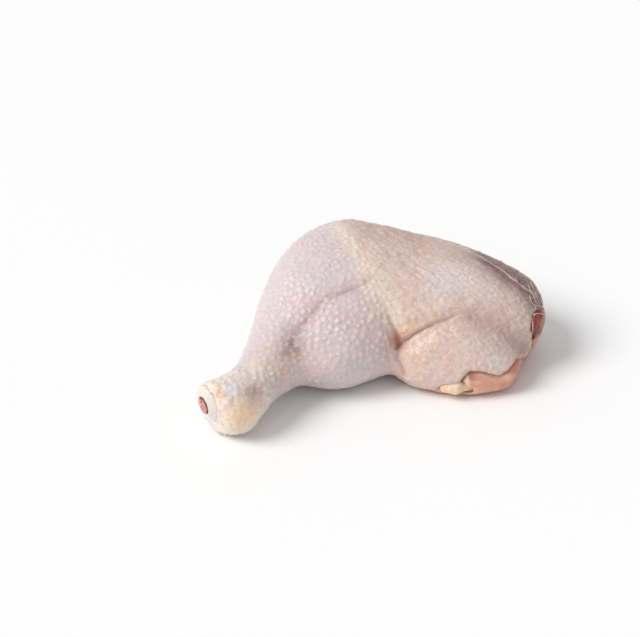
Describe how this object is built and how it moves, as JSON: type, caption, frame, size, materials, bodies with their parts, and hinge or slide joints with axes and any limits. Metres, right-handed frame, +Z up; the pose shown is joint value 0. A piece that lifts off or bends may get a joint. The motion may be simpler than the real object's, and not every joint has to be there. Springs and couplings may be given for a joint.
{
  "type": "raw chicken leg quarter",
  "caption": "Raw chicken leg quarter with its drumstick and thigh, skin on, cut at the hock and hip, lying on its cut side with the skin up.",
  "frame": {"origin": "middle of the resting side, on the surface that the piece lies on", "axes": "+Z up; +X towards the thigh's cut end; the drumstick points towards -X and -Y"},
  "size_m": [0.1699, 0.1379, 0.0561],
  "materials": {
    "skin": "wet, thin and translucent raw skin with feather bumps",
    "meat": "wet raw meat with a fine grain",
    "cartilage": "wet white cartilage and bone",
    "marrow": "moist dark red marrow",
    "dark_meat": "wet dark red meat",
    "fat": "moist cream fat"
  },
  "bodies": {
    "root": {"skin": "skin", "meat": "meat", "shin_bone": "cartilage", "marrow": "marrow", "back_meat": "dark_meat", "thigh_fat": "fat"}
  },
  "joints": []
}
